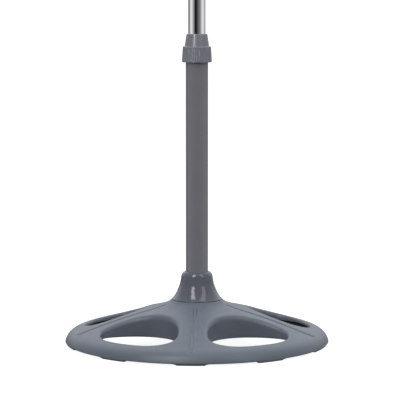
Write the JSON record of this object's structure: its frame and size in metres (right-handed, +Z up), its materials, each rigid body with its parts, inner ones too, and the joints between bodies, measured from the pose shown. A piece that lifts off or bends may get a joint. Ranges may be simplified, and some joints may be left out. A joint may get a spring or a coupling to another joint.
{
  "type": "telescopic pedestal stand",
  "caption": "Telescopic floor stand: round moulded base with openings, flared hub cover, painted outer tube, screw-down lock collar and a chrome inner pole that slides and turns.",
  "frame": {"origin": "on the floor at the centre of the base", "axes": "+Z up along the tubes; the front spoke points along -Y; +X to the right seen from the front"},
  "size_m": [0.38, 0.38, 0.601],
  "materials": {
    "shell_plastic": "satin moulded, fine grain",
    "cover_plastic": "glossy",
    "tube_paint": "satin",
    "collar_plastic": "satin moulded",
    "chrome_tube": "polished",
    "ballast_iron": "black coated",
    "zinc_steel": "zinc plated",
    "foot_rubber": "matt",
    "bush_plastic": "matt"
  },
  "bodies": {
    "base": {"base_shell": "shell_plastic", "ballast_ring": "ballast_iron", "hub_plate": "zinc_steel", "flat_washer": "zinc_steel", "spring_washer": "zinc_steel", "base_bolt": "zinc_steel", "hub_cover": "cover_plastic", "outer_tube": "tube_paint", "tube_plug": "bush_plastic", "plug_rivet": "zinc_steel", "collet_bush": "bush_plastic", "ballast_screw_1": "zinc_steel", "ballast_screw_2": "zinc_steel", "ballast_screw_3": "zinc_steel", "ballast_screw_4": "zinc_steel", "ballast_screw_5": "zinc_steel", "foot_pad_01": "foot_rubber", "foot_pad_02": "foot_rubber", "foot_pad_03": "foot_rubber", "foot_pad_04": "foot_rubber", "foot_pad_05": "foot_rubber", "foot_pad_06": "foot_rubber", "foot_pad_07": "foot_rubber", "foot_pad_08": "foot_rubber", "foot_pad_09": "foot_rubber", "foot_pad_10": "foot_rubber"},
    "grip": {"grip_ring": "bush_plastic"},
    "collar": {"lock_collar": "collar_plastic"},
    "slider": {"guide_bush": "bush_plastic"},
    "pole": {"inner_pole": "chrome_tube", "pole_foot": "bush_plastic", "snap_ring": "zinc_steel", "pole_cap": "bush_plastic"}
  },
  "joints": [
    {"name": "collar_lift", "type": "slide", "parent": "base", "child": "grip", "axis": [0, 0, 1], "range_m": [0, 0.003]},
    {"name": "collar_turn", "type": "hinge", "parent": "grip", "child": "collar", "pos_m": [0, 0, 0.415], "axis": [0, 0, 1], "range_deg": [0, 360]},
    {"name": "pole_slide", "type": "slide", "parent": "base", "child": "slider", "axis": [0, 0, 1], "range_m": [-0.12, 0.19]},
    {"name": "pole_turn", "type": "hinge", "parent": "slider", "child": "pole", "pos_m": [0, 0, 0.2], "axis": [0, 0, 1], "continuous": true}
  ],
  "couplings": [
    {"joint": "collar_lift", "follows": "collar_turn", "m_per_rad": 0.000477}
  ]
}
